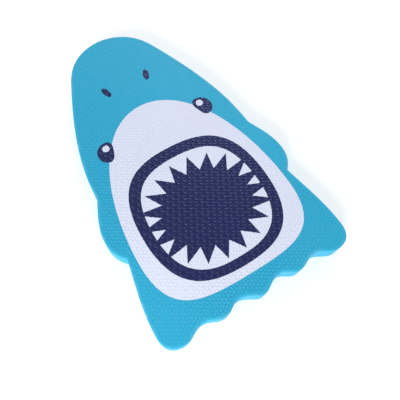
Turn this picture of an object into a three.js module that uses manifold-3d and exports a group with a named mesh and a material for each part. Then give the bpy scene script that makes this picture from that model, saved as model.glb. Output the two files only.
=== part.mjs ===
// A child's kickboard float: a flat EVA foam board cut as a shark seen from above, with the
// shark's face printed on its deck. Millimetres, +Z up, the shark's nose towards +Y. The origin
// is on the floor, under the middle of the board's box.
//
// The board is a foam core between two thin face sheets. The prints are thin coats of ink that
// lie side by side on the deck, so each colour is a piece of its own.

import * as THREE from 'three';
import { mergeVertices } from 'three/addons/utils/BufferGeometryUtils.js';
import Module from 'manifold-3d';

const wasm = await Module();
wasm.setup();

// ---------------------------------------------------------------- driving dimensions

const THICKNESS = 30; // the whole board, prints included
const SHEET = 2; // each face sheet
const INK = 0.2; // a coat of print
const EDGE_RADIUS = 1.6; // rounding of the board's upper and lower edges
const EDGE_STEPS = 3; // facets across that rounding
const PRINT_GAP = 0.3; // bare line between one print and the next
const CURVE_STEPS = 12; // chords in one curve of the board's outline
const PRINT_STEPS = 14; // chords in one curve of a print's outline

const DECK_Z = THICKNESS - INK; // top of the deck sheet
const CORE_Z = SHEET; // underside of the core
const CORE_HEIGHT = DECK_Z - 2 * SHEET;

const COLOURS = {
  blue: 0x3fa9d2,
  foam: 0x5cc4e6,
  navy: 0x2a2c5a,
  white: 0xe2e6f8,
};

// ---------------------------------------------------------------- outlines
// Each outline of the right half starts on the board's middle line at the nose end and goes
// clockwise. A curve is [handle, handle, end], and the left half is its mirror image.

// The board: nose and flank, pectoral fin, notch, tail lobe and the waved tail edge.
const BOARD = {
  start: [0, 225],
  curves: [
    [[10.5, 225], [48.5, 222.5], [68, 178.5]], // round nose
    [[118.5, 63], [116.8, 21.5], [119.3, -12]], // flank, down to the root of the fin
    [[125, -26], [136.4, -46], [136.4, -69]], // front of the fin
    [[136.4, -88], [127.5, -96], [122.4, -102]], // back of the fin, into the notch
    [[124, -116], [136.8, -160], [136.8, -200]], // side of the tail lobe
    [[136.8, -216], [128, -225], [112, -225]], // corner of the lobe
    [[100, -225], [94, -214.6], [82, -214.6]], // outer wave, going in
    [[70, -214.6], [66, -222.3], [54, -222.3]], // outer wave, going out
    [[45, -222.3], [39, -212.9], [30, -212.9]], // inner wave, going in
    [[17, -212.9], [9, -224.2], [0, -224.2]], // inner wave, out to the middle
  ],
};

// The white face, and the outer and inner edges of the lips.
const FACE = {
  start: [0, 88],
  curves: [
    [[16.7, 88], [37.9, 82], [58.3, 59.8]],
    [[98.5, 16], [112.5, -58.1], [112.5, -114.6]],
    [[112.5, -191.6], [70.1, -194.5], [0, -194.5]],
  ],
};
const LIPS = {
  start: [0, 8.5],
  curves: [
    [[56.3, 8.5], [93, -9.8], [93, -89]],
    [[93, -169.1], [53.1, -182.7], [0, -182.7]],
  ],
};
const GUMS = {
  start: [0, -8.4],
  curves: [
    [[44.3, -8.4], [78.7, -18.7], [78.7, -92.4]],
    [[78.7, -169], [28.7, -169.9], [0, -169.9]],
  ],
};

// Teeth of the right half, from the middle outwards: the tip of each tooth, and the valley
// between it and the next one. A row ends where its last side meets the gums.
const UPPER_TEETH = {
  tips: [[0, -39.8], [19.3, -42.2], [36.7, -50], [50.6, -61.7]],
  valleys: [[13.8, -16.7], [40.9, -24.8], [63.2, -38.9]],
  endY: -58.3,
};
const LOWER_TEETH = {
  tips: [[0, -145.2], [18.8, -142.3], [36, -134.9], [49.7, -123.9]],
  valleys: [[13.5, -165.2], [39, -158.4], [61.1, -145.3]],
  endY: -127.2,
};
// Each single tooth at the side: its tip, and the stretch of the gums that it stands on.
const SIDE_TEETH = [
  { tip: [59, -76.8], topY: -63.6, bottomY: -79.5 },
  { tip: [61.9, -93.1], topY: -86.8, bottomY: -99.9 },
  { tip: [59, -109.6], topY: -107, bottomY: -122.6 },
];

// The right eye: flat on the side towards the mouth, round on the other.
const EYE = {
  start: [74, 58.8],
  curves: [
    [[82.5, 58.8], [89.7, 51.5], [89.7, 42.5]],
    [[89.7, 35], [84.5, 28.4], [77.5, 28.4]],
    [[71, 28.4], [69, 36], [67, 41.5]],
    [[64.8, 47.5], [62, 58.8], [74, 58.8]],
  ],
};
const GLINT = { centre: [75, 49.8], radii: [5.1, 5.1], tilt: 0 };
const NOSTRIL = { centre: [32.6, 132.8], radii: [9.5, 4.45], tilt: 74 };

// ---------------------------------------------------------------- outline tools

/** Points along one side of an outline, from its start to its end. */
function pointsAlong({ start, curves }, steps) {
  const path = new THREE.Path();
  path.moveTo(...start);
  for (const [a, b, end] of curves) path.bezierCurveTo(...a, ...b, ...end);
  return path.getPoints(steps);
}

const mirrored = (points) => points.map((p) => new THREE.Vector2(-p.x, p.y)).reverse();

/** The closed outline of a shape whose right half runs from middle line to middle line. */
function bothSides(rightHalf) {
  return [...rightHalf, ...mirrored(rightHalf).slice(1, -1)];
}

/** A closed outline with the repeat of its first point taken off. */
function closedOutline(outline, steps) {
  return pointsAlong(outline, steps).slice(0, -1);
}

function ellipse({ centre, radii, tilt }) {
  const turn = THREE.MathUtils.degToRad(tilt);
  const curve = new THREE.EllipseCurve(...centre, ...radii, 0, 2 * Math.PI, false, turn);
  return curve.getPoints(3 * PRINT_STEPS).slice(0, -1);
}

/** The outline moved outwards by a distance, or inwards by a negative one. */
function offset(outline, distance) {
  const outwards = THREE.ShapeUtils.isClockWise(outline) ? -distance : distance;
  return outline.map((point, i) => {
    const before = outline[(i + outline.length - 1) % outline.length];
    const after = outline[(i + 1) % outline.length];
    const a = point.clone().sub(before).normalize();
    const b = after.clone().sub(point).normalize();
    const normal = new THREE.Vector2(a.y + b.y, -a.x - b.x).normalize();
    const spread = normal.dot(new THREE.Vector2(a.y, -a.x));
    return point.clone().addScaledVector(normal, outwards / Math.max(spread, 0.2));
  });
}

/** The point of a half outline at a given height. */
function pointAtY(points, y) {
  const i = points.findIndex((p, k) => k > 0 && p.y <= y && points[k - 1].y > y);
  const share = (points[i - 1].y - y) / (points[i - 1].y - points[i].y);
  return points[i - 1].clone().lerp(points[i], share);
}

/** The stretch of a half outline between two heights, from the upper to the lower. */
function stretch(points, topY, bottomY) {
  const between = points.filter((p) => p.y < topY && p.y > bottomY);
  return [pointAtY(points, topY), ...between, pointAtY(points, bottomY)];
}

// ---------------------------------------------------------------- solids

/** A flat piece of even thickness. */
function slab(outline, z, height) {
  const geometry = new THREE.ExtrudeGeometry(new THREE.Shape(outline), {
    depth: height,
    bevelEnabled: false,
  });
  return geometry.translate(0, 0, z);
}

/** A face sheet whose outer edge is rounded: the upper edge, or the lower if turned over. */
function roundedSheet(outline, z, turnedOver) {
  const anticlockwise = THREE.ShapeUtils.isClockWise(outline) ? [...outline].reverse() : outline;
  const rings = [{ points: anticlockwise, height: 0 }];
  for (let step = 0; step <= EDGE_STEPS; step += 1) {
    const angle = (Math.PI / 2) * (step / EDGE_STEPS);
    rings.push({
      points: offset(anticlockwise, -EDGE_RADIUS * (1 - Math.cos(angle))),
      height: SHEET - EDGE_RADIUS + EDGE_RADIUS * Math.sin(angle),
    });
  }
  const count = anticlockwise.length;
  const positions = rings.flatMap((ring) =>
    ring.points.flatMap((p) => [p.x, p.y, z + (turnedOver ? SHEET - ring.height : ring.height)]),
  );
  const triangles = [];
  for (let ring = 0; ring < rings.length - 1; ring += 1) {
    for (let i = 0; i < count; i += 1) {
      const low = ring * count + i;
      const lowNext = ring * count + ((i + 1) % count);
      triangles.push([low, lowNext, lowNext + count], [low, lowNext + count, low + count]);
    }
  }
  const topRing = (rings.length - 1) * count;
  for (const [a, b, c] of THREE.ShapeUtils.triangulateShape(rings.at(-1).points, [])) {
    triangles.push([topRing + a, topRing + b, topRing + c]);
  }
  for (const [a, b, c] of THREE.ShapeUtils.triangulateShape(anticlockwise, [])) {
    triangles.push([c, b, a]);
  }
  const geometry = new THREE.BufferGeometry();
  geometry.setAttribute('position', new THREE.Float32BufferAttribute(positions, 3));
  geometry.setIndex(triangles.flatMap((t) => (turnedOver ? [...t].reverse() : t)));
  return geometry;
}

function toManifold(geometry) {
  const bare = geometry.clone();
  bare.deleteAttribute('normal');
  bare.deleteAttribute('uv');
  const merged = mergeVertices(bare, 1e-4);
  const vertProperties = new Float32Array(merged.attributes.position.array);
  const triVerts = new Uint32Array(merged.index.array);
  return new wasm.Manifold(new wasm.Mesh({ numProp: 3, vertProperties, triVerts }));
}

/** A coat of ink inside an outline, less the places kept clear for its neighbours. */
function print(outline, clearOf = []) {
  const coat = slab(outline, DECK_Z, INK);
  if (clearOf.length === 0) return coat;
  let solid = toManifold(coat);
  for (const neighbour of clearOf) {
    const cutter = slab(offset(neighbour, PRINT_GAP), DECK_Z - INK, 3 * INK);
    solid = solid.subtract(toManifold(cutter));
  }
  const { vertProperties, triVerts } = solid.getMesh();
  const geometry = new THREE.BufferGeometry();
  geometry.setAttribute('position', new THREE.BufferAttribute(vertProperties, 3));
  geometry.setIndex(new THREE.BufferAttribute(triVerts, 1));
  return geometry;
}

// ---------------------------------------------------------------- outlines of the prints

const boardOutline = bothSides(pointsAlong(BOARD, CURVE_STEPS));
const faceOutline = bothSides(pointsAlong(FACE, PRINT_STEPS));
const lipsOutline = bothSides(pointsAlong(LIPS, PRINT_STEPS));
const gums = pointsAlong(GUMS, PRINT_STEPS);

/** A row of teeth: the gums on one side, and the tips and valleys in turn on the other. */
function toothRow({ tips, valleys, endY }, gumsFromMiddle) {
  const middle = gumsFromMiddle[0];
  const alongGums = gumsFromMiddle.filter((p) => (p.y - endY) * (middle.y - endY) > 0);
  const zigzag = tips.flatMap((tip, i) => [tip, valleys[i]]).slice(0, -1);
  const teethSide = zigzag.map((p) => new THREE.Vector2(...p)).reverse();
  return bothSides([...alongGums, pointAtY(gums, endY), ...teethSide]);
}

function sideTooth({ tip, topY, bottomY }) {
  return [...stretch(gums, topY, bottomY), new THREE.Vector2(...tip)];
}

const upperTeeth = toothRow(UPPER_TEETH, gums);
const lowerTeeth = toothRow(LOWER_TEETH, [...gums].reverse());

const SIDES = {
  right: (outline) => outline,
  left: mirrored,
};
const onBothSides = (outline) => Object.values(SIDES).map((place) => place(outline));

const eye = closedOutline(EYE, PRINT_STEPS);
const glint = ellipse(GLINT);
const nostril = ellipse(NOSTRIL);
const sideTeeth = SIDE_TEETH.map(sideTooth);

// ---------------------------------------------------------------- assembly

const kickboard = new THREE.Group();

function addPiece(name, geometry, colour, roughness) {
  const material = new THREE.MeshStandardMaterial({ color: colour, roughness, metalness: 0 });
  const mesh = new THREE.Mesh(geometry, material);
  mesh.name = name;
  kickboard.add(mesh);
}

const FOAM_ROUGHNESS = 0.75;
const INK_ROUGHNESS = 0.5;

addPiece('bottom_skin', roundedSheet(boardOutline, 0, true), COLOURS.blue, FOAM_ROUGHNESS);
addPiece('foam_core', slab(boardOutline, CORE_Z, CORE_HEIGHT), COLOURS.foam, FOAM_ROUGHNESS);
addPiece('deck_skin', roundedSheet(boardOutline, DECK_Z - SHEET, false), COLOURS.blue, FOAM_ROUGHNESS);

const face = print(faceOutline, [lipsOutline, ...onBothSides(eye)]);
const mouth = print(lipsOutline, [upperTeeth, lowerTeeth, ...sideTeeth.flatMap(onBothSides)]);
addPiece('face_print', face, COLOURS.white, INK_ROUGHNESS);
addPiece('mouth_print', mouth, COLOURS.navy, INK_ROUGHNESS);
addPiece('upper_teeth_print', print(upperTeeth), COLOURS.white, INK_ROUGHNESS);
addPiece('lower_teeth_print', print(lowerTeeth), COLOURS.white, INK_ROUGHNESS);

for (const [side, place] of Object.entries(SIDES)) {
  addPiece(`eye_print_${side}`, print(place(eye), [place(glint)]), COLOURS.navy, INK_ROUGHNESS);
  addPiece(`glint_print_${side}`, print(place(glint)), COLOURS.white, INK_ROUGHNESS);
  addPiece(`nostril_print_${side}`, print(place(nostril)), COLOURS.navy, INK_ROUGHNESS);
  sideTeeth.forEach((tooth, i) => {
    addPiece(`tooth_print_${side}_${i + 1}`, print(place(tooth)), COLOURS.white, INK_ROUGHNESS);
  });
}

export default kickboard;
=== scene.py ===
"""A child's shark kickboard float: an embossed EVA foam board with the shark's face printed on
its deck, lying on a pale studio floor. Metres, +Z up, the shark's nose towards +Y."""

import functools
import math

import bpy
import numpy as np
from bpy.props import FloatProperty, FloatVectorProperty, PointerProperty
from mathutils import Matrix, Vector
from mathutils.geometry import delaunay_2d_cdt
from mathutils.kdtree import KDTree


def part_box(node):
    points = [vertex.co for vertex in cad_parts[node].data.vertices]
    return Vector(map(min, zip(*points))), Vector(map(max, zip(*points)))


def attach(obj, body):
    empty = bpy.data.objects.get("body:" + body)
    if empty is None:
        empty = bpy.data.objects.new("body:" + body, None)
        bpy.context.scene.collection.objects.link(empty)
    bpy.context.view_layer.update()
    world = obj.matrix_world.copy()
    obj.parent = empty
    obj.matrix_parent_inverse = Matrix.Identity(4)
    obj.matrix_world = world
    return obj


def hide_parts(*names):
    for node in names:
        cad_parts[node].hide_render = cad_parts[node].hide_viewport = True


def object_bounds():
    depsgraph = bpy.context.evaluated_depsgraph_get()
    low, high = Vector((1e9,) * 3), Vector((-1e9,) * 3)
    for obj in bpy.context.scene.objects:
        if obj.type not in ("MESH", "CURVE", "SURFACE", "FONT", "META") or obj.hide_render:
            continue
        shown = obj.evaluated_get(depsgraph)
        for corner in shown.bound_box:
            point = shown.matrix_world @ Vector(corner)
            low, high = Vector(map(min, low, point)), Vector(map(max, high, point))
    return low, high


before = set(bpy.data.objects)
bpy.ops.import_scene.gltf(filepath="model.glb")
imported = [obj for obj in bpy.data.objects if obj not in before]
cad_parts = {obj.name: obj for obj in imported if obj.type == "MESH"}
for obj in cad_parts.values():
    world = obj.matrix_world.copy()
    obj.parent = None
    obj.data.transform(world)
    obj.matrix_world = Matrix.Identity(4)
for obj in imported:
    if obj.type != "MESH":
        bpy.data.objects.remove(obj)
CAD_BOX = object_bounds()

bl_info = {
    "name": "Shark kickboard float",
    "version": (1, 0, 0),
    "blender": (4, 5, 0),
    "location": "3D View > Sidebar > Kickboard",
    "description": "Builds an embossed foam kickboard with a printed shark's face",
    "category": "Object",
}

# ------------------------------------------------------------------ outlines
# In thousandths of a metre. Each outline of the right half starts on the board's middle line at
# the nose end and goes clockwise. A curve is (handle, handle, end), and the left half mirrors it.

BOARD = (
    (0, 225),
    (
        ((10.5, 225), (48.5, 222.5), (68, 178.5)),  # round nose
        ((118.5, 63), (116.8, 21.5), (119.3, -12)),  # flank, down to the root of the fin
        ((125, -26), (136.4, -46), (136.4, -69)),  # front of the fin
        ((136.4, -88), (127.5, -96), (122.4, -102)),  # back of the fin, into the notch
        ((124, -116), (136.8, -160), (136.8, -200)),  # side of the tail lobe
        ((136.8, -216), (128, -225), (112, -225)),  # corner of the lobe
        ((100, -225), (94, -214.6), (82, -214.6)),  # outer wave, going in
        ((70, -214.6), (66, -222.3), (54, -222.3)),  # outer wave, going out
        ((45, -222.3), (39, -212.9), (30, -212.9)),  # inner wave, going in
        ((17, -212.9), (9, -224.2), (0, -224.2)),  # inner wave, out to the middle
    ),
)
FACE = (
    (0, 88),
    (
        ((16.7, 88), (37.9, 82), (58.3, 59.8)),
        ((98.5, 16), (112.5, -58.1), (112.5, -114.6)),
        ((112.5, -191.6), (70.1, -194.5), (0, -194.5)),
    ),
)
LIPS = (
    (0, 8.5),
    (
        ((56.3, 8.5), (93, -9.8), (93, -89)),
        ((93, -169.1), (53.1, -182.7), (0, -182.7)),
    ),
)
GUMS = (
    (0, -8.4),
    (
        ((44.3, -8.4), (78.7, -18.7), (78.7, -92.4)),
        ((78.7, -169), (28.7, -169.9), (0, -169.9)),
    ),
)
# Teeth of the right half, from the middle outwards: the tips, the valleys between them, and
# the height at which the row ends on the gums.
UPPER_TEETH = (
    ((0, -39.8), (19.3, -42.2), (36.7, -50), (50.6, -61.7)),
    ((13.8, -16.7), (40.9, -24.8), (63.2, -38.9)),
    -58.3,
)
LOWER_TEETH = (
    ((0, -145.2), (18.8, -142.3), (36, -134.9), (49.7, -123.9)),
    ((13.5, -165.2), (39, -158.4), (61.1, -145.3)),
    -127.2,
)
# Each single tooth: its tip, and the heights between which it stands on the gums.
SIDE_TEETH = (
    ((59, -76.8), -63.6, -79.5),
    ((61.9, -93.1), -86.8, -99.9),
    ((59, -109.6), -107, -122.6),
)
EYE = (
    (74, 58.8),
    (
        ((82.5, 58.8), (89.7, 51.5), (89.7, 42.5)),
        ((89.7, 35), (84.5, 28.4), (77.5, 28.4)),
        ((71, 28.4), (69, 36), (67, 41.5)),
        ((64.8, 47.5), (62, 58.8), (74, 58.8)),
    ),
)
GLINT = ((75, 49.8), (5.1, 5.1), 0)  # centre, radii, tilt in degrees
NOSTRIL = ((32.6, 132.8), (9.5, 4.45), 74)

OUTLINE_LENGTH = 450
MM = (CAD_BOX[1][1] - CAD_BOX[0][1]) / OUTLINE_LENGTH

CORE_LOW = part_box("foam_core")[0].z
CORE_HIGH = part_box("foam_core")[1].z
DECK_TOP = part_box("deck_skin")[1].z
PRINT_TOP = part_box("face_print")[1].z
BOARD_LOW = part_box("bottom_skin")[0].z

RIGHT, LEFT = "right", "left"


# ------------------------------------------------------------------ sizes and colours


class KickboardSizes(bpy.types.PropertyGroup):
    edge_radius: FloatProperty(
        name="Edge rounding",
        description="Radius of the rounded upper and lower edges",
        default=0.0028,
        unit="LENGTH",
        precision=4,
    )
    emboss_pitch: FloatProperty(
        name="Emboss pitch",
        description="Distance between two neighbouring stars across the board",
        default=0.00855,
        unit="LENGTH",
        precision=5,
    )
    emboss_row: FloatProperty(
        name="Emboss row spacing",
        description="Distance between two rows of stars along the board",
        default=0.0077,
        unit="LENGTH",
        precision=5,
    )
    emboss_depth: FloatProperty(
        name="Emboss depth",
        description="How deep the petals are where the sheet is pressed with a firmness of 1",
        default=0.00065,
        unit="LENGTH",
        precision=5,
    )
    petal_length: FloatProperty(
        name="Petal length",
        description="Length of a petal as a share of the way from star to star",
        default=0.74,
        subtype="FACTOR",
    )
    petal_width: FloatProperty(
        name="Petal width",
        description="Width of a petal at its middle",
        default=0.0029,
        unit="LENGTH",
        precision=5,
    )
    edge_step: FloatProperty(
        name="Edge step",
        description="Distance between points along the outlines",
        default=0.0009,
        unit="LENGTH",
        precision=5,
    )


class KickboardColours(bpy.types.PropertyGroup):
    skin: FloatVectorProperty(
        name="Skin",
        description="Blue of the embossed face sheets",
        default=(0.026, 0.395, 0.625),
        subtype="COLOR",
        size=3,
    )
    # Lighter than the skin: cut foam is paler, and part of the lift is painted light for the light
    # the side walls catch.
    foam: FloatVectorProperty(
        name="Foam",
        description="Lighter blue of the cut foam edge",
        default=(0.060, 0.455, 0.700),
        subtype="COLOR",
        size=3,
    )
    white: FloatVectorProperty(
        name="White ink",
        description="Cool white of the face, teeth and glints",
        default=(0.690, 0.735, 0.885),
        subtype="COLOR",
        size=3,
    )
    navy: FloatVectorProperty(
        name="Navy ink",
        description="Dark blue of the mouth, eyes and nostrils",
        default=(0.0130, 0.0195, 0.0850),
        subtype="COLOR",
        size=3,
    )
    floor: FloatVectorProperty(
        name="Floor",
        description="Colour of the studio floor",
        default=(0.93, 0.93, 0.93),
        subtype="COLOR",
        size=3,
    )


class KickboardStage(bpy.types.PropertyGroup):
    azimuth: FloatProperty(
        name="Camera azimuth",
        description="Compass angle of the camera, 0 looks along +Y",
        default=math.radians(-33.11),
        subtype="ANGLE",
    )
    elevation: FloatProperty(
        name="Camera elevation",
        description="Angle of the camera above the floor",
        default=math.radians(67.42),
        subtype="ANGLE",
    )
    roll: FloatProperty(
        name="Camera roll",
        description="Turn of the camera about its own line of sight",
        default=math.radians(2.354),
        subtype="ANGLE",
    )
    distance: FloatProperty(
        name="Camera distance",
        description="Distance from the camera to the point it is turned about",
        default=0.5577,
        unit="LENGTH",
    )
    lens: FloatProperty(
        name="Lens",
        description="Focal length in millimetres",
        default=38.47,
        unit="CAMERA",
    )
    front_power: FloatProperty(
        name="Front light",
        description="Power of the softbox at the front left in watts",
        default=15.3,
        unit="POWER",
    )
    back_power: FloatProperty(
        name="Back light",
        description="Power of the large softbox behind the nose in watts",
        default=102.0,
        unit="POWER",
    )
    ceiling: FloatProperty(
        name="Ceiling light",
        description="Brightness of the room overhead",
        default=0.40,
    )
    walls: FloatProperty(
        name="Wall light",
        description="Brightness of the room at floor level",
        default=0.65,
    )
    table_glow: FloatProperty(
        name="Table glow",
        description="Light of its own that the lit studio table gives",
        default=0.26,
    )


# ------------------------------------------------------------------ flat outlines

CURVE_SAMPLES = 200  # fine steps that each curve is measured in
LEAST_ROUND = 16  # an ellipse has at least this many points
CROWDED = 0.2  # a gum point nearer to a tooth than this share of a step is left out
SHARPEST = 0.5  # limit on how far an inset follows a sharp corner


def curve_points(outline, step):
    """Points about one step apart along a chain of curves, both ends included."""
    start, curves = outline
    here = np.array(start, float)
    parts = [here[None]]
    t = np.linspace(0, 1, CURVE_SAMPLES + 1)[:, None]
    for a, b, end in curves:
        a, b, end = (np.array(p, float) for p in (a, b, end))
        dense = (1 - t) ** 3 * here + 3 * (1 - t) ** 2 * t * a
        dense += 3 * (1 - t) * t**2 * b + t**3 * end
        run = np.concatenate([[0], np.cumsum(np.linalg.norm(np.diff(dense, axis=0), axis=1))])
        count = max(2, round(run[-1] * MM / step))
        marks = np.linspace(0, run[-1], count + 1)[1:]
        parts.append(np.stack([np.interp(marks, run, dense[:, k]) for k in (0, 1)], axis=1))
        here = end
    return np.concatenate(parts) * MM


def mirrored(points):
    return points[::-1] * [-1, 1]


def on_side(points, side):
    return points if side == RIGHT else mirrored(points)


def both_sides(right_half):
    """The closed outline of a shape whose right half runs from middle line to middle line."""
    return np.concatenate([right_half, mirrored(right_half)[1:-1]])


def ellipse(centre, radii, tilt, step):
    count = max(LEAST_ROUND, round(2 * math.pi * max(radii) * MM / step))
    angle = np.arange(count) * 2 * math.pi / count
    across, along = radii[0] * np.cos(angle), radii[1] * np.sin(angle)
    c, s = math.cos(math.radians(tilt)), math.sin(math.radians(tilt))
    turned = np.stack([c * across - s * along, s * across + c * along], axis=1)
    return (turned + centre) * MM


def divided(corners, step):
    """The closed outline through these corners, with points one step apart at most."""
    parts = []
    for here, there in zip(corners, np.roll(corners, -1, axis=0)):
        count = max(1, math.ceil(np.linalg.norm(there - here) / step))
        parts.append(here + (there - here) * (np.arange(count) / count)[:, None])
    return np.concatenate(parts)


def signed_area(outline):
    x, y = outline.T
    return 0.5 * float(np.sum(x * np.roll(y, -1) - np.roll(x, -1) * y))


def anticlockwise(outline):
    return outline if signed_area(outline) > 0 else outline[::-1]


def inset(outline, distance):
    """An anticlockwise outline moved inwards."""
    a = outline - np.roll(outline, 1, axis=0)
    b = np.roll(outline, -1, axis=0) - outline
    a /= np.linalg.norm(a, axis=1)[:, None]
    b /= np.linalg.norm(b, axis=1)[:, None]
    inwards = np.stack([-(a + b)[:, 1], (a + b)[:, 0]], axis=1)
    inwards /= np.linalg.norm(inwards, axis=1)[:, None]
    spread = np.abs(inwards[:, 0] * -a[:, 1] + inwards[:, 1] * a[:, 0])
    return outline + inwards * (distance / np.maximum(spread, SHARPEST))[:, None]


def inside(points, outline):
    """Which points lie inside a closed outline."""
    order = np.argsort(points[:, 1], kind="stable")
    x, y = points[order].T
    found = np.zeros(len(points), bool)
    for (x0, y0), (x1, y1) in zip(outline, np.roll(outline, -1, axis=0)):
        if y0 == y1:
            continue
        low, high = np.searchsorted(y, sorted((y0, y1)))
        crossing = x0 + (y[low:high] - y0) * (x1 - x0) / (y1 - y0)
        found[low:high] ^= x[low:high] < crossing
    result = np.empty(len(points), bool)
    result[order] = found
    return result


def gum_point(gums, y):
    """Where the right half of the gums passes a height."""
    k = int(np.argmax(gums[:, 1] <= y))
    share = (gums[k - 1, 1] - y) / (gums[k - 1, 1] - gums[k, 1])
    return gums[k - 1] + share * (gums[k] - gums[k - 1])


def tooth_row(row, from_middle, gums, step):
    """A row of teeth: the gums on one side, and the tips and valleys in turn on the other."""
    tips, valleys, end = row
    end *= MM
    side = np.sign(from_middle[0, 1] - end)
    along_gums = from_middle[(from_middle[:, 1] - end) * side > CROWDED * step]
    zigzag = [tips[0]]
    for valley, tip in zip(valleys, tips[1:]):
        zigzag += [valley, tip]
    teeth = np.array(zigzag[::-1], float) * MM
    return divided(both_sides(np.concatenate([along_gums, [gum_point(gums, end)], teeth])), step)


def side_tooth(tip, top, bottom, gums, step):
    top, bottom = top * MM, bottom * MM
    room = CROWDED * step
    between = gums[(gums[:, 1] < top - room) & (gums[:, 1] > bottom + room)]
    ends = gum_point(gums, top), gum_point(gums, bottom)
    return divided(np.array([ends[0], *between, ends[1], np.array(tip) * MM]), step)


def print_outlines(step):
    """Each print's own outline. A later one covers an earlier one where they cross."""
    gums = curve_points(GUMS, step)
    outlines = {
        "face_print": both_sides(curve_points(FACE, step)),
        "mouth_print": both_sides(curve_points(LIPS, step)),
        "upper_teeth_print": tooth_row(UPPER_TEETH, gums, gums, step),
        "lower_teeth_print": tooth_row(LOWER_TEETH, gums[::-1], gums, step),
    }
    for side in (RIGHT, LEFT):
        for i, tooth in enumerate(SIDE_TEETH):
            outlines[f"tooth_print_{side}_{i + 1}"] = on_side(
                side_tooth(*tooth, gums, step), side
            )
        outlines[f"eye_print_{side}"] = on_side(curve_points(EYE, step)[:-1], side)
        outlines[f"glint_print_{side}"] = on_side(ellipse(*GLINT, step), side)
        outlines[f"nostril_print_{side}"] = on_side(ellipse(*NOSTRIL, step), side)
    return {name: anticlockwise(outline) for name, outline in outlines.items()}


# ------------------------------------------------------------------ emboss

# A net of points that follows the petals: where its rings stand along a petal, from -1 to 1,
# and where the points of each ring stand across it.
DECK_PETAL = (
    ((-1, 1), (0,)),
    ((-0.9, 0.9), (-1, 0, 1)),
    ((-0.66, -0.33, 0, 0.33, 0.66), (-1, -0.5, 0, 0.5, 1)),
)
UNDERSIDE_PETAL = (((-1, 1), (0,)), ((-0.8, -0.4, 0, 0.4, 0.8), (-1, 0, 1)))
PRINT_GAP = 0.00035  # the net keeps this far from every outline
FADE = 0.0022  # the emboss dies away over this distance from the rounded edge
# How firmly the sheet was pressed, at places across the board in each row and with the rows
# from the tail to the nose. 1 is a depth of emboss_depth.
PRESS_X = (-110 * MM, -40 * MM, 40 * MM, 110 * MM)
PRESS_Y = (-215 * MM, -140 * MM, -80 * MM, 0, 100 * MM, 210 * MM)
PRESS = (
    (0.75, 1.50, 1.50, 1.00),
    (0.80, 1.15, 1.05, 1.00),
    (1.35, 1.10, 0.80, 0.65),
    (1.45, 1.20, 0.65, 0.50),
    (1.25, 1.00, 0.50, 0.45),
    (0.80, 0.65, 0.45, 0.40),
)
FIRST_STAR = (-4.3, -2.4)  # a star near the middle of the board, in thousandths
SAME_POINT = 1e-8  # points closer than this become one
SLIVER = 1e-14  # twice the area of the largest triangle that counts as a sliver


def star_lattice(sizes):
    """The two steps from one star to the next: across, and slanting along the board."""
    pitch, row = sizes.emboss_pitch, sizes.emboss_row
    return np.array([[pitch, 0.0], [pitch / 2, row]])


def first_star():
    return np.array(FIRST_STAR) * MM


def petal_half_width(s, sizes):
    return sizes.petal_width / 2 * (1 - s**2)


def net_points(low, high, rings, sizes):
    """Points for a net of triangles over a box: rings of points on every petal, the stars,
    and the middles of the plain triangles between the petals."""
    lattice = star_lattice(sizes)
    cell = [np.zeros(2), lattice.sum(axis=0) / 3, (lattice[1] * 2 - lattice[0]) / 3]
    for along in (lattice[0], lattice[1], lattice[1] - lattice[0]):
        across = np.array([-along[1], along[0]]) / np.linalg.norm(along)
        for stations, places in rings:
            for s in stations:
                middle = along * (1 + s * sizes.petal_length) / 2
                cell += [middle + across * petal_half_width(s, sizes) * t for t in places]
    low, high = low - first_star(), high - first_star()
    rows = np.arange(math.floor(low[1] / lattice[1, 1]) - 1, math.ceil(high[1] / lattice[1, 1]) + 1)
    reach = math.ceil(max(abs(low[0]), abs(high[0])) / lattice[0, 0]) + 2
    stars = np.array(
        [
            lattice[0] * (column - row // 2) + lattice[1] * row
            for row in rows
            for column in range(-reach, reach + 1)
        ]
    )
    return (stars[:, None] + np.array(cell)[None]).reshape(-1, 2) + first_star()


def petals(points, sizes):
    """Depth of the emboss, from 0 on the plain sheet to how firmly the sheet was pressed at the
    bottom of a petal. A petal lies along each line from a star to the next, so six of them meet
    at every star."""
    lattice = star_lattice(sizes)
    to_steps = np.linalg.inv(lattice)
    depth = np.zeros(len(points))
    for along in (lattice[0], lattice[1], lattice[1] - lattice[0]):
        length = np.linalg.norm(along)
        direction = along / length
        from_middle = points - first_star() - along / 2
        nearest = np.round(from_middle @ to_steps) @ lattice
        offset = from_middle - nearest
        s = offset @ direction / (length * sizes.petal_length / 2)
        t = offset @ np.array([-direction[1], direction[0]])
        taper = np.clip(1 - s**2, 0, None)
        half_width = np.maximum(petal_half_width(np.minimum(abs(s), 1), sizes), 1e-9)
        hollow = np.clip(1 - (t / half_width) ** 2, 0, None)
        depth = np.maximum(depth, np.where(taper > 0, hollow * np.sqrt(taper), 0))
    return depth * press(points)


def press(points):
    """How firmly the sheet was pressed at each point, read off between the places of PRESS."""
    in_rows = np.array([np.interp(points[:, 0], PRESS_X, row) for row in PRESS])
    place_in_rows = np.interp(points[:, 1], PRESS_Y, np.arange(len(PRESS_Y)))
    row = np.minimum(place_in_rows.astype(int), len(PRESS_Y) - 2)
    share = place_in_rows - row
    point = np.arange(len(points))
    return in_rows[row, point] * (1 - share) + in_rows[row + 1, point] * share


def search_tree(points):
    tree = KDTree(len(points))
    for i, (x, y) in enumerate(points):
        tree.insert((x, y, 0), i)
    tree.balance()
    return tree


def edge_distance(points, rim, reach):
    """Distance of each point from the rim, up to reach."""
    distance = np.full(len(points), reach)
    tree = search_tree(points)
    for x, y in rim:
        for _, i, d in tree.find_range((x, y, 0), reach):
            distance[i] = min(distance[i], d)
    return distance


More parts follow.
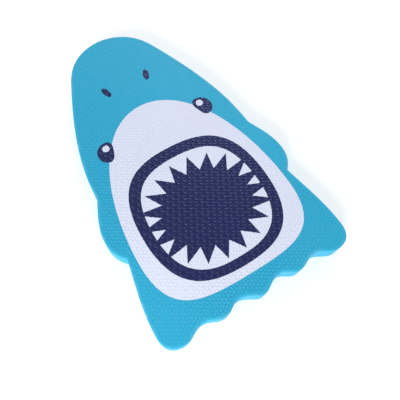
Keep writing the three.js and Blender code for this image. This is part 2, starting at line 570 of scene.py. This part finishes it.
def away_from(points, outlines, gap):
    """The points that keep a gap to every outline."""
    tree = search_tree(points)
    keep = np.ones(len(points), bool)
    for outline in outlines:
        for x, y in outline:
            for _, i, _ in tree.find_range((x, y, 0), gap):
                keep[i] = False
    return points[keep]


def triangulate(rings, loose, keep_slivers=False):
    """A net of triangles through closed rings of points and loose points. It returns the
    points, the triangles and, for each ring, where its points are now. Slivers along straight
    sides are dropped unless keep_slivers is set."""
    points = np.concatenate([*rings, loose]) if len(loose) else np.concatenate(rings)
    edges, ring_starts, start = [], [], 0
    for ring in rings:
        n = len(ring)
        edges += [(start + i, start + (i + 1) % n) for i in range(n)]
        ring_starts.append((start, n))
        start += n
    out_points, _, faces, origins, _, _ = delaunay_2d_cdt(
        [Vector(p) for p in points.tolist()], edges, [], 0, SAME_POINT
    )
    now = {}
    for i, olds in enumerate(origins):
        for old in olds:
            now[old] = i
    placed = [np.array([now[i] for i in range(s, s + n)]) for s, n in ring_starts]
    triangles = np.array([f for f in faces if len(f) == 3])
    points = np.array([tuple(p) for p in out_points])
    if not keep_slivers:
        ab, ac = (points[triangles[:, k]] - points[triangles[:, 0]] for k in (1, 2))
        triangles = triangles[ab[:, 0] * ac[:, 1] - ab[:, 1] * ac[:, 0] > SLIVER]
    return points, triangles, placed


def relief_inside(rim, points, sizes):
    """Depth of the emboss at each point, dying away towards the rim."""
    fade = np.clip(edge_distance(points, rim, FADE) / FADE, 0, 1)
    return petals(points, sizes) * fade * fade * (3 - 2 * fade)


def centres(points, triangles):
    return points[triangles].mean(axis=1)


def region_names(points, outlines):
    """Which print each point belongs to, or no name on the bare deck."""
    names = np.full(len(points), "", dtype=object)
    for name, outline in outlines.items():
        names[inside(points, outline)] = name
    return names


def outer_edges(triangles):
    """The directed edges that have a triangle on one side only."""
    edges = np.concatenate([triangles[:, [0, 1]], triangles[:, [1, 2]], triangles[:, [2, 0]]])
    top = int(edges.max()) + 1
    forward = edges[:, 0] * top + edges[:, 1]
    backward = edges[:, 1] * top + edges[:, 0]
    return edges[~np.isin(forward, backward)]


def loops_of(edges):
    """Closed rings of point numbers made of directed edges."""
    following = {}
    for a, b in edges.tolist():
        following.setdefault(a, []).append(b)
    loops = []
    while following:
        first = next(iter(following))
        loop, here = [], first
        while here in following:
            loop.append(here)
            nexts = following[here]
            there = nexts.pop()
            if not nexts:
                del following[here]
            here = there
        loops.append(loop)
    return loops


def edge_inset(depth, radius):
    """How far the rounded edge lies inside the outline, at a depth below the flat face."""
    if depth >= radius:
        return 0.0
    return radius - math.sqrt(radius**2 - (radius - depth) ** 2)


@functools.cache
def board_outline(step):
    return anticlockwise(both_sides(curve_points(BOARD, step)))


@functools.cache
def deck_layout():
    """The deck seen from above, as one net of triangles that follows every print's outline."""
    sizes = bpy.context.scene.kickboard_sizes
    rim = inset(board_outline(sizes.edge_step), sizes.edge_radius)
    outlines = print_outlines(sizes.edge_step)
    net = net_points(rim.min(axis=0), rim.max(axis=0), DECK_PETAL, sizes)
    net = away_from(net[inside(net, rim)], [rim, *outlines.values()], PRINT_GAP)
    points, triangles, placed = triangulate([rim, *outlines.values()], net)
    middle = centres(points, triangles)
    on_board = inside(middle, rim)
    triangles, middle = triangles[on_board], middle[on_board]
    relief = relief_inside(rim, points, sizes)
    return points, relief, triangles, region_names(middle, outlines), placed[0]


# ------------------------------------------------------------------ solids

SHARP = math.radians(55)  # an edge that bends more than this is shaded sharp
EDGE_RINGS = (0.0, 0.04, 0.12, 0.24, 0.40, 0.60, 0.80, 1.0)  # depths, as shares of the radius
WALL_RINGS = 6  # rows of faces on the plain part of the side wall
POCKET_ROOM = 1.1  # depth of the pockets for the prints, over that of the deepest petal
# The rim attribute, which says how much a place is rubbed: where the face starts to round off,
# on the rounded edge itself, and on the plain side wall.
RIM_START, RIM_EDGE, RIM_WALL = 0.6, 1.0, 0.3


def add_mesh(name, points, faces, relief=None, rim=None):
    """A new mesh object. relief and rim are numbers kept on its points, which the materials
    read: how deep the point lies in the emboss, and how much the place is rubbed."""
    mesh = bpy.data.meshes.new(name)
    mesh.from_pydata(points.tolist(), [], faces)
    mesh.validate()
    for label, values in (("relief", relief), ("rim", rim)):
        layer = mesh.attributes.new(label, "FLOAT", "POINT")
        values = np.zeros(len(points)) if values is None else values
        layer.data.foreach_set("value", values.astype(np.float32))
    mesh.shade_smooth()
    mesh.set_sharp_from_angle(angle=SHARP)
    obj = bpy.data.objects.new(name, mesh)
    bpy.context.scene.collection.objects.link(obj)
    return obj


def flat_cap(rings, fill_left, facing_up):
    """Triangles that fill what lies to the left of rings of points, or to their right, as
    numbers into all the points in turn."""
    points, triangles, placed = triangulate(rings, np.zeros((0, 2)), keep_slivers=True)
    borders = {(int(a), int(b)) for ring in placed for a, b in zip(ring, np.roll(ring, -1))}
    if not fill_left:
        borders = {(b, a) for a, b in borders}
    triangles = triangles.tolist()
    owner = {}
    for number, (a, b, c) in enumerate(triangles):
        for edge in ((a, b), (b, c), (c, a)):
            owner[edge] = number
    waiting = [owner[edge] for edge in sorted(borders)]
    filled = set(waiting)
    while waiting:
        a, b, c = triangles[waiting.pop()]
        for x, y in ((a, b), (b, c), (c, a)):
            neighbour = None if (x, y) in borders else owner.get((y, x))
            if neighbour is not None and neighbour not in filled:
                filled.add(neighbour)
                waiting.append(neighbour)
    back = {int(now): i for i, now in enumerate(np.concatenate(placed))}
    order = (triangles[number] for number in sorted(filled))
    return [tuple(back[k] for k in (t if facing_up else t[::-1])) for t in order]


def own_points(triangles):
    """The numbers of the points that triangles use, and the triangles numbered by those alone."""
    used, numbers = np.unique(triangles, return_inverse=True)
    return used, numbers.reshape(triangles.shape)


def walls_down(loops, start):
    """Faces from rings of points down to copies of them, numbered from start."""
    faces = []
    for loop in loops:
        n = len(loop)
        for i in range(n):
            j = (i + 1) % n
            faces.append((loop[j], loop[i], start + i, start + j))
        start += n
    return faces


def place(obj, node, material):
    obj.data.materials.append(material)
    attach(obj, "root")
    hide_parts(node)
    return obj


def print_solid(name, pocket_floor):
    """A print: its embossed top out of the deck's net, walls down to the pocket, and a floor."""
    sizes = bpy.context.scene.kickboard_sizes
    points, relief, triangles, names, _ = deck_layout()
    used, own = own_points(triangles[names == name])
    flat, depth = points[used], relief[used]
    top_z = PRINT_TOP - sizes.emboss_depth * depth
    loops = loops_of(outer_edges(own))
    loop_order = np.concatenate([np.array(loop) for loop in loops])
    top = np.column_stack([flat, top_z])
    floor = np.column_stack([flat[loop_order], np.full(len(loop_order), pocket_floor)])
    faces = [tuple(t) for t in own.tolist()] + walls_down(loops, len(top))
    cap = flat_cap([flat[loop] for loop in loops], fill_left=True, facing_up=False)
    faces += [tuple(len(top) + i for i in t) for t in cap]
    all_relief = np.concatenate([depth, depth[loop_order]])
    piece = name.replace("_print", "_ink")
    return add_mesh(piece, np.concatenate([top, floor]), faces, all_relief)


def pocket_floor_z(sizes):
    """Level of the shallow pockets that the prints lie in, just under the emboss."""
    return DECK_TOP - POCKET_ROOM * np.max(PRESS) * sizes.emboss_depth


def ring_heights(face_z, end_z, radius):
    """Heights of the rings round the edge, from a flat face to the sheet's other side."""
    way = math.copysign(1.0, end_z - face_z)
    reach = abs(end_z - face_z)
    return [face_z + way * s * radius for s in EDGE_RINGS if s * radius < reach] + [end_z]


def sheet_side(outline, face_z, end_z, radius, first_ring, start):
    """Rings of points round a sheet's rounded edge, from its flat face to its other side, and
    the faces between them and over that other side. first_ring gives the numbers of the points
    round the flat face, and start the number of the next new point."""
    n = len(outline)
    points, faces, previous = [], [], np.array(first_ring)
    downwards = end_z < face_z
    for z in ring_heights(face_z, end_z, radius)[1:]:
        flat = inset(outline, edge_inset(abs(z - face_z), radius))
        points.append(np.column_stack([flat, np.full(n, z)]))
        ring = start + np.arange(n)
        start += n
        for i in range(n):
            j = (i + 1) % n
            quad = (previous[j], previous[i], ring[i], ring[j])
            faces.append(tuple(int(k) for k in (quad if downwards else quad[::-1])))
        previous = ring
    cap = flat_cap([outline], fill_left=True, facing_up=not downwards)
    faces += [tuple(int(previous[i]) for i in t) for t in cap]
    return np.concatenate(points), faces


def deck_skin():
    """The blue face sheet: embossed where it is bare, with pockets for the prints."""
    sizes = bpy.context.scene.kickboard_sizes
    outline = board_outline(sizes.edge_step)
    points, relief, triangles, names, rim_now = deck_layout()
    used, bare = own_points(triangles[names == ""])
    number = {int(old): i for i, old in enumerate(used)}
    rim_ring = [number[int(i)] for i in rim_now]
    flat, depth = points[used], relief[used]
    top = np.column_stack([flat, DECK_TOP - sizes.emboss_depth * depth])
    faces = [tuple(t) for t in bare.tolist()]

    on_rim = set(rim_ring)
    edges = np.array([e for e in outer_edges(bare).tolist() if not on_rim.issuperset(e)])
    loops = loops_of(edges)
    faces += walls_down(loops, len(top))
    floor_z = pocket_floor_z(sizes)
    pockets = [np.column_stack([flat[loop], np.full(len(loop), floor_z)]) for loop in loops]
    start = len(top) + sum(len(loop) for loop in loops)
    cap = flat_cap([flat[loop] for loop in loops], fill_left=False, facing_up=True)
    faces += [tuple(len(top) + i for i in t) for t in cap]

    edge_points, edge_faces = sheet_side(
        outline, DECK_TOP, CORE_HIGH, sizes.edge_radius, rim_ring, start
    )
    faces += edge_faces
    all_points = np.concatenate([top, *pockets, edge_points])
    rimness = np.zeros(len(all_points))
    rimness[rim_ring] = RIM_START
    rimness[-len(edge_points) :] = RIM_EDGE
    depth = np.pad(depth, (0, len(all_points) - len(top)))
    return add_mesh("deck_sheet", all_points, faces, depth, rimness)


def bottom_skin():
    """The face sheet of the underside, embossed all over."""
    sizes = bpy.context.scene.kickboard_sizes
    outline = board_outline(sizes.edge_step)
    rim = inset(outline, sizes.edge_radius)
    net = net_points(rim.min(axis=0), rim.max(axis=0), UNDERSIDE_PETAL, sizes)
    net = away_from(net[inside(net, rim)], [rim], PRINT_GAP)
    points, triangles, placed = triangulate([rim], net)
    triangles = triangles[inside(centres(points, triangles), rim)]
    relief = relief_inside(rim, points, sizes)
    top = np.column_stack([points, BOARD_LOW + sizes.emboss_depth * relief])
    faces = [tuple(t) for t in triangles[:, ::-1].tolist()]
    edge_points, edge_faces = sheet_side(
        outline, BOARD_LOW, CORE_LOW, sizes.edge_radius, placed[0], len(top)
    )
    faces += edge_faces
    extra = len(edge_points)
    rimness = np.concatenate([np.zeros(len(top)), np.full(extra, RIM_EDGE)])
    all_points = np.concatenate([top, edge_points])
    return add_mesh("underside_sheet", all_points, faces, np.pad(relief, (0, extra)), rimness)


def foam_core():
    """The core: a plain side wall that takes up the rounding of both face sheets."""
    sizes = bpy.context.scene.kickboard_sizes
    outline = board_outline(sizes.edge_step)
    radius = sizes.edge_radius
    ends = (DECK_TOP - radius, BOARD_LOW + radius)
    upper = [DECK_TOP - s * radius for s in EDGE_RINGS if DECK_TOP - s * radius < CORE_HIGH]
    lower = [BOARD_LOW + s * radius for s in EDGE_RINGS if BOARD_LOW + s * radius > CORE_LOW]
    middle = list(np.linspace(ends[0], ends[1], WALL_RINGS + 1)[1:-1])
    heights = [CORE_HIGH, *upper, *middle, *lower[::-1], CORE_LOW]
    n = len(outline)
    rows, faces = [], []
    for z in heights:
        depth = min(DECK_TOP - z, z - BOARD_LOW)
        rows.append(np.column_stack([inset(outline, edge_inset(depth, radius)), np.full(n, z)]))
    for row in range(len(heights) - 1):
        for i in range(n):
            j = (i + 1) % n
            high, low = row * n, (row + 1) * n
            faces.append((high + j, high + i, low + i, low + j))
    top_cap = flat_cap([outline], fill_left=True, facing_up=True)
    faces += top_cap
    last = (len(heights) - 1) * n
    faces += [tuple(last + i for i in reversed(t)) for t in top_cap]
    rimness = np.full(n * len(heights), RIM_WALL)
    return add_mesh("foam_body", np.concatenate(rows), faces, rim=rimness)


# ------------------------------------------------------------------ materials

# Scales are in waves per metre.
CELL_SCALE, PEEL_SCALE = 2600.0, 520.0  # the cells of the foam, and the orange peel over them
INK_SCALE = 900.0  # fine speckle of sheet foam and ink
RUB_SCALE, PATCH_SCALE, NICK_SCALE = 60.0, 45.0, 700.0
RUBBED_PALER, WORN_PALER = 0.35, 0.45  # how far rubbed and worn places go towards white
PLAIN_SMOOTHER, WORN_ROUGHER = 0.06, 0.25  # changes of roughness
BUMP_HEIGHT = 0.00012
# Where a noise or the depth of the emboss starts to tell, and where it tells in full.
# The first pair is the relief over which the painted shade of the petal hollows fades in.
PETAL_SHADE_RANGE, LEAVES_PLAIN = (0.15, 0.85), (0.0, 0.25)
BROKEN_RUB, PATCHES, NICKS = (0.35, 0.75), (0.48, 0.72), (0.66, 0.74)


def new_group(name, inputs, outputs):
    """A shader node group with float or colour sockets, and its input and output nodes."""
    tree = bpy.data.node_groups.new(name, "ShaderNodeTree")
    kinds = {"float": "NodeSocketFloat", "colour": "NodeSocketColor"}
    for label, kind, value in inputs:
        socket = tree.interface.new_socket(label, in_out="INPUT", socket_type=kinds[kind])
        socket.default_value = value
    for label, kind in outputs:
        tree.interface.new_socket(label, in_out="OUTPUT", socket_type=kinds[kind])
    return tree, tree.nodes.new("NodeGroupInput"), tree.nodes.new("NodeGroupOutput")


def feed(tree, value, socket):
    """Link a socket to another's output, or set it to a plain value."""
    if isinstance(value, bpy.types.NodeSocket):
        tree.links.new(value, socket)
    else:
        socket.default_value = value


def give(tree, node, **values):
    """Feed a node's inputs by name, with _ for a space."""
    for label, value in values.items():
        feed(tree, value, node.inputs[label.replace("_", " ")])


def math_node(tree, operation, a, b, clamp=False):
    node = tree.nodes.new("ShaderNodeMath")
    node.operation = operation
    node.use_clamp = clamp
    feed(tree, a, node.inputs[0])
    feed(tree, b, node.inputs[1])
    return node.outputs[0]


def noise_node(tree, scale, detail=2.0, roughness=0.5):
    """Noise over the piece's own coordinates. scale is in waves per metre."""
    here = tree.nodes.new("ShaderNodeTexCoord").outputs["Object"]
    noise = tree.nodes.new("ShaderNodeTexNoise")
    give(tree, noise, Vector=here, Scale=scale, Detail=detail, Roughness=roughness)
    return noise.outputs["Fac"]


def mask(tree, value, low, high, below=0.0, above=1.0):
    """One number below low, another above high, smooth between."""
    node = tree.nodes.new("ShaderNodeMapRange")
    node.interpolation_type = "SMOOTHSTEP"
    give(tree, node, Value=value, From_Min=low, From_Max=high, To_Min=below, To_Max=above)
    return node.outputs["Result"]


def mix_colour(tree, factor, a, b, blend="MIX"):
    node = tree.nodes.new("ShaderNodeMix")
    node.data_type = "RGBA"
    node.blend_type = blend
    for k, value in ((0, factor), (6, a), (7, b)):
        feed(tree, value, node.inputs[k])
    return node.outputs[2]


def attribute(tree, label):
    node = tree.nodes.new("ShaderNodeAttribute")
    node.attribute_name = label
    return node.outputs["Fac"]


@functools.cache
def foam_grain_group():
    """Fine skin of closed-cell foam: tiny cells over a slow orange peel."""
    tree, given, out = new_group(
        "Foam grain",
        [("Peel", "float", 0.6)],
        [("Height", "float"), ("Cells", "float")],
    )
    cells = tree.nodes.new("ShaderNodeTexVoronoi")
    cells.feature = "SMOOTH_F1"
    here = tree.nodes.new("ShaderNodeTexCoord").outputs["Object"]
    give(tree, cells, Vector=here, Scale=CELL_SCALE)
    peel = math_node(tree, "MULTIPLY", noise_node(tree, PEEL_SCALE, 3.0), given.outputs["Peel"])
    distance = cells.outputs["Distance"]
    give(tree, out, Height=math_node(tree, "ADD", distance, peel), Cells=distance)
    return tree


@functools.cache
def mottle_group():
    """Slow, faint change of shade over the board, as sheet foam and ink have."""
    tree, given, out = new_group(
        "Mottle",
        [
            ("Colour", "colour", (0.5, 0.5, 0.5, 1)),
            ("Amount", "float", 0.1),
            ("Scale", "float", 14.0),
            ("Fine", "float", 0.5),
        ],
        [("Colour", "colour")],
    )
    slow = noise_node(tree, given.outputs["Scale"], 4.0, 0.55)
    fine = noise_node(tree, INK_SCALE, 2.0, 0.6)
    slow = math_node(tree, "SUBTRACT", slow, 0.5)
    fine = math_node(tree, "SUBTRACT", fine, 0.5)
    fine = math_node(tree, "MULTIPLY", fine, given.outputs["Fine"])
    mixed = math_node(tree, "ADD", slow, fine)
    shade = math_node(tree, "MULTIPLY", mixed, given.outputs["Amount"])
    factor = math_node(tree, "ADD", shade, 1.0)
    scaled = tree.nodes.new("ShaderNodeVectorMath")
    scaled.operation = "SCALE"
    feed(tree, given.outputs["Colour"], scaled.inputs[0])
    feed(tree, factor, scaled.inputs["Scale"])
    feed(tree, scaled.outputs[0], out.inputs["Colour"])
    return tree


@functools.cache
def emboss_rub_and_shade_group():
    """The plain sheet a little paler where it is rubbed, and painted shade that darkens the
    pressed petals towards black, standing in for the shade in their hollows."""
    tree, given, out = new_group(
        "Emboss tint",
        [
            ("Colour", "colour", (0.5, 0.5, 0.5, 1)),
            ("Rubbed", "colour", (0.8, 0.8, 0.8, 1)),
            ("Rub", "float", 0.2),
            # Depth: how strongly the painted shade darkens the petal hollows
            ("Depth", "float", 0.15),
        ],
        [("Colour", "colour"), ("Plain", "float")],
    )
    relief = attribute(tree, "relief")
    pressed = mask(tree, relief, *PETAL_SHADE_RANGE)
    plain = math_node(tree, "SUBTRACT", 1.0, mask(tree, relief, *LEAVES_PLAIN))
    broken = mask(tree, noise_node(tree, RUB_SCALE, 4.0, 0.65), *BROKEN_RUB)
    rub = math_node(tree, "MULTIPLY", plain, broken)
    rub = math_node(tree, "MULTIPLY", rub, given.outputs["Rub"])
    # painted shade: the petal hollows mixed towards black
    hollow = math_node(tree, "MULTIPLY", pressed, given.outputs["Depth"])
    painted_petal_shade = mix_colour(tree, hollow, given.outputs["Colour"], (0.0, 0.0, 0.0, 1))
    colour = mix_colour(tree, rub, painted_petal_shade, given.outputs["Rubbed"])
    give(tree, out, Colour=colour, Plain=plain)
    return tree


@functools.cache
def edge_wear_group():
    """Rubbed patches along the rounded edge, and a few small nicks."""
    tree, given, out = new_group(
        "Edge wear",
        [
            ("Colour", "colour", (0.5, 0.5, 0.5, 1)),
            ("Worn", "colour", (0.8, 0.8, 0.8, 1)),
            ("Amount", "float", 0.3),
        ],
        [("Colour", "colour"), ("Worn mask", "float")],
    )
    near = attribute(tree, "rim")
    patches = mask(tree, noise_node(tree, PATCH_SCALE, 5.0, 0.6), *PATCHES)
    nicks = mask(tree, noise_node(tree, NICK_SCALE, 2.0, 0.5), *NICKS)
    worn = math_node(tree, "MAXIMUM", patches, nicks)
    worn = math_node(tree, "MULTIPLY", worn, near)
    worn = math_node(tree, "MULTIPLY", worn, given.outputs["Amount"])
    colour = mix_colour(tree, worn, given.outputs["Colour"], given.outputs["Worn"])
    give(tree, out, Colour=colour, Worn_mask=worn)
    return tree


def placed_group(tree, group, **values):
    node = tree.nodes.new("ShaderNodeGroup")
    node.node_tree = group
    give(tree, node, **values)
    return node


def opaque(colour):
    return (*colour, 1.0)


def paler(colour, share):
    return opaque([c + (1 - c) * share for c in colour])


def surface_material(name, colour, finish):
    """A foam or ink finish: mottled colour, a rubbed plain sheet, painted shade in the petal
    hollows, worn edges and a grained surface. finish is a dict of the amounts."""
    material = bpy.data.materials.new(name)
    material.use_nodes = True
    tree = material.node_tree
    shader = tree.nodes["Principled BSDF"]
    gloss_tint = opaque(finish["gloss_tint"])
    give(tree, shader, Specular_IOR_Level=finish["specular"], Specular_Tint=gloss_tint)
    mottle = placed_group(
        tree,
        mottle_group(),
        Colour=opaque(colour),
        Amount=finish["mottle"],
        Scale=finish["mottle_scale"],
        Fine=finish["fine"],
    )
    # the rubbed plain sheet, and the painted shade that darkens the petal hollows
    rub_and_shade = placed_group(
        tree,
        emboss_rub_and_shade_group(),
        Colour=mottle.outputs["Colour"],
        Rubbed=paler(colour, RUBBED_PALER),
        Rub=finish["rub"],
        Depth=finish["depth"],
    )
    wear = placed_group(
        tree,
        edge_wear_group(),
        Colour=rub_and_shade.outputs["Colour"],
        Worn=paler(colour, WORN_PALER),
        Amount=finish["wear"],
    )
    grain = placed_group(tree, foam_grain_group(), Peel=finish["peel"])
    rough = math_node(tree, "MULTIPLY", grain.outputs["Cells"], finish["rough_change"])
    rough = math_node(tree, "ADD", rough, finish["roughness"])
    smoother = math_node(tree, "MULTIPLY", rub_and_shade.outputs["Plain"], PLAIN_SMOOTHER)
    rough = math_node(tree, "SUBTRACT", rough, smoother)
    rougher = math_node(tree, "MULTIPLY", wear.outputs["Worn mask"], WORN_ROUGHER)
    rough = math_node(tree, "ADD", rough, rougher, clamp=True)
    bump = tree.nodes.new("ShaderNodeBump")
    height = grain.outputs["Height"]
    give(tree, bump, Strength=finish["bump"], Distance=BUMP_HEIGHT, Height=height)
    normal = bump.outputs["Normal"]
    give(tree, shader, Base_Color=wear.outputs["Colour"], Roughness=rough, Normal=normal)
    return material


FOAM_FINISH = {
    "specular": 0.2,
    "gloss_tint": (1, 1, 1),
    "mottle": 0.08,  # strength and scale of the slow change of shade, and its fine part
    "mottle_scale": 13.0,
    "fine": 0.5,
    "rub": 0.04,  # paler where the plain sheet is rubbed
    "depth": 0.09,  # painted shade, darker in the petal hollows
    "wear": 0.20,  # paler and rougher along the edge
    "peel": 0.6,
    "roughness": 0.46,
    "rough_change": 0.15,
    "bump": 0.4,
}
# In every finish, depth is the painted shade of the petal hollows.
CUT_FOAM_FINISH = {**FOAM_FINISH, "rub": 0.0, "depth": 0.0, "wear": 0.30, "roughness": 0.62}
INK_FINISH = {**FOAM_FINISH, "mottle": 0.04, "rub": 0.02, "depth": 0.02, "wear": 0.0, "bump": 0.3}
NAVY_FINISH = {
    **INK_FINISH,
    "mottle": 0.20,
    "rub": 0.0,
    # painted shade in the navy ink's petal hollows
    "depth": 0.1,
    "roughness": 0.32,
    "specular": 0.46,
    "gloss_tint": (0.5, 0.56, 1.0),
}


@functools.cache
def material_for(slot):
    colours = bpy.context.scene.kickboard_colours
    if slot == "skin_blue":
        return surface_material("Embossed blue foam", colours.skin, FOAM_FINISH)
    # the cut foam's lighter blue is partly painted light on the side walls
    if slot == "core_foam":
        return surface_material("Cut blue foam", colours.foam, CUT_FOAM_FINISH)
    if slot == "ink_white":
        return surface_material("White ink on foam", colours.white, INK_FINISH)
    return surface_material("Navy ink on foam", colours.navy, NAVY_FINISH)


# ------------------------------------------------------------------ operators


class KICKBOARD_OT_core(bpy.types.Operator):
    """Build the foam core with its smooth side wall"""

    bl_idname = "kickboard.core"
    bl_label = "Foam core"

    def execute(self, context):
        core = place(foam_core(), "foam_core", material_for("core_foam"))
        return {"FINISHED"}


class KICKBOARD_OT_skins(bpy.types.Operator):
    """Build the embossed face sheets of the deck and of the underside"""

    bl_idname = "kickboard.skins"
    bl_label = "Face sheets"

    def execute(self, context):
        for build, node in ((deck_skin, "deck_skin"), (bottom_skin, "bottom_skin")):
            skin = place(build(), node, material_for("skin_blue"))
        return {"FINISHED"}


def add_prints(names, slot):
    """Build prints of one ink."""
    floor = pocket_floor_z(bpy.context.scene.kickboard_sizes)
    for name in names:
        place(print_solid(name, floor), name, material_for(slot))


class KICKBOARD_OT_face(bpy.types.Operator):
    """Print the white face and the navy mouth"""

    bl_idname = "kickboard.face"
    bl_label = "Face and mouth"

    def execute(self, context):
        add_prints(["face_print"], "ink_white")
        add_prints(["mouth_print"], "ink_navy")
        return {"FINISHED"}


class KICKBOARD_OT_teeth(bpy.types.Operator):
    """Print the two rows of teeth and the single teeth at the sides"""

    bl_idname = "kickboard.teeth"
    bl_label = "Teeth"

    def execute(self, context):
        singles = [f"tooth_print_{s}_{i + 1}" for s in (RIGHT, LEFT) for i in range(len(SIDE_TEETH))]
        add_prints(["upper_teeth_print", "lower_teeth_print", *singles], "ink_white")
        return {"FINISHED"}


class KICKBOARD_OT_eyes(bpy.types.Operator):
    """Print the eyes, their glints and the nostrils"""

    bl_idname = "kickboard.eyes"
    bl_label = "Eyes and nostrils"

    def execute(self, context):
        add_prints([f"{n}_print_{s}" for n in ("eye", "nostril") for s in (RIGHT, LEFT)], "ink_navy")
        add_prints([f"glint_print_{s}" for s in (RIGHT, LEFT)], "ink_white")
        return {"FINISHED"}


FLOOR_SIZE, FLOOR_STEP = 6.0, 0.5
TARGET = (-0.0154, -0.0732)  # the point of the deck that the camera turns about
SHIFT = (0.0264, -0.0003)  # of the lens, as shares of the view's width
# Each softbox: where it hangs, and its width and height. Both face LIT_POINT.
FRONT_LIGHT = ((-0.95, -0.85, 0.75), (0.6, 0.5))
BACK_LIGHT = ((2.5, 3.07, 2.45), (2.2, 1.3))
LIT_POINT = (0, -0.05, 0)
ROOM_TOP = 0.9  # height of the direction above which the room has its ceiling's brightness


def add_floor(colour, glow):
    """A pale studio table with a faint glow and a slight mottle."""
    half = FLOOR_SIZE / 2
    corners = np.array([(-half, -half), (half, -half), (half, half), (-half, half)])
    outline = divided(corners, FLOOR_STEP)
    points = np.column_stack([outline, np.zeros(len(outline))])
    floor = add_mesh("studio_floor", points, [tuple(range(len(points)))])
    material = bpy.data.materials.new("Studio paper")
    material.use_nodes = True
    tree = material.node_tree
    shader = tree.nodes["Principled BSDF"]
    mottle = placed_group(
        tree, mottle_group(), Colour=opaque(colour), Amount=0.02, Scale=3.0, Fine=0.2
    )
    give(tree, shader, Base_Color=mottle.outputs["Colour"], Roughness=0.9, Specular_IOR_Level=0.1)
    give(tree, shader, Emission_Color=(1, 1, 1, 1), Emission_Strength=glow)
    floor.data.materials.append(material)


def add_camera(stage):
    back = Vector(
        (
            math.cos(stage.elevation) * math.sin(stage.azimuth),
            -math.cos(stage.elevation) * math.cos(stage.azimuth),
            math.sin(stage.elevation),
        )
    )
    across = Vector((math.cos(stage.azimuth), math.sin(stage.azimuth), 0))
    up = back.cross(across)
    turned_across = math.cos(stage.roll) * across + math.sin(stage.roll) * up
    turned_up = math.cos(stage.roll) * up - math.sin(stage.roll) * across
    camera = bpy.data.objects.new("camera", bpy.data.cameras.new("camera"))
    bpy.context.scene.collection.objects.link(camera)
    rows = Matrix((turned_across, turned_up, back)).transposed().to_4x4()
    target = Vector((*TARGET, PRINT_TOP))
    camera.matrix_world = Matrix.Translation(target + back * stage.distance) @ rows
    camera.data.sensor_width = 36
    camera.data.lens = stage.lens
    camera.data.shift_x, camera.data.shift_y = SHIFT
    camera.data.clip_start = 0.01
    bpy.context.scene.camera = camera


def add_softbox(name, place_at, size, power):
    light = bpy.data.lights.new(name, "AREA")
    light.shape = "RECTANGLE"
    light.size, light.size_y = size
    light.energy = power
    lamp = bpy.data.objects.new(name, light)
    bpy.context.scene.collection.objects.link(lamp)
    lamp.location = place_at
    lamp.rotation_euler = (Vector(LIT_POINT) - Vector(place_at)).to_track_quat("-Z", "Y").to_euler()


def studio_room(ceiling, walls):
    """A white room, dimmer overhead than at floor level."""
    world = bpy.data.worlds.new("white_room")
    world.use_nodes = True
    tree = world.node_tree
    direction = tree.nodes.new("ShaderNodeTexCoord")
    parts = tree.nodes.new("ShaderNodeSeparateXYZ")
    feed(tree, direction.outputs["Generated"], parts.inputs[0])
    brightness = mask(tree, parts.outputs["Z"], 0.0, ROOM_TOP, walls, ceiling)
    give(tree, tree.nodes["Background"], Color=(1, 1, 1, 1), Strength=brightness)
    return world


class KICKBOARD_OT_stage(bpy.types.Operator):
    """Set up the floor, the camera and the soft studio light"""

    bl_idname = "kickboard.stage"
    bl_label = "Studio"

    def execute(self, context):
        stage = context.scene.kickboard_stage
        add_floor(context.scene.kickboard_colours.floor, stage.table_glow)
        add_camera(stage)
        add_softbox("front_softbox", *FRONT_LIGHT, stage.front_power)
        add_softbox("back_softbox", *BACK_LIGHT, stage.back_power)
        context.scene.world = studio_room(stage.ceiling, stage.walls)
        context.scene.view_settings.view_transform = "Standard"
        return {"FINISHED"}


class KICKBOARD_PT_panel(bpy.types.Panel):
    """Sizes, colours and the steps that build the board"""

    bl_idname = "KICKBOARD_PT_panel"
    bl_label = "Shark kickboard"
    bl_space_type = "VIEW_3D"
    bl_region_type = "UI"
    bl_category = "Kickboard"

    def draw(self, context):
        scene = context.scene
        for group in (scene.kickboard_sizes, scene.kickboard_colours, scene.kickboard_stage):
            box = self.layout.box()
            for name in group.__annotations__:
                box.prop(group, name)
        for operator in OPERATORS:
            self.layout.operator(operator.bl_idname)


OPERATORS = (
    KICKBOARD_OT_core,
    KICKBOARD_OT_skins,
    KICKBOARD_OT_face,
    KICKBOARD_OT_teeth,
    KICKBOARD_OT_eyes,
    KICKBOARD_OT_stage,
)
CLASSES = (KickboardSizes, KickboardColours, KickboardStage, *OPERATORS, KICKBOARD_PT_panel)


def register():
    for cls in CLASSES:
        bpy.utils.register_class(cls)
    bpy.types.Scene.kickboard_sizes = PointerProperty(type=KickboardSizes)
    bpy.types.Scene.kickboard_colours = PointerProperty(type=KickboardColours)
    bpy.types.Scene.kickboard_stage = PointerProperty(type=KickboardStage)


def unregister():
    del bpy.types.Scene.kickboard_stage
    del bpy.types.Scene.kickboard_colours
    del bpy.types.Scene.kickboard_sizes
    for cls in reversed(CLASSES):
        bpy.utils.unregister_class(cls)


def main():
    register()
    for operator in OPERATORS:
        group, name = operator.bl_idname.split(".")
        getattr(getattr(bpy.ops, group), name)()


if __name__ == "__main__":
    main()
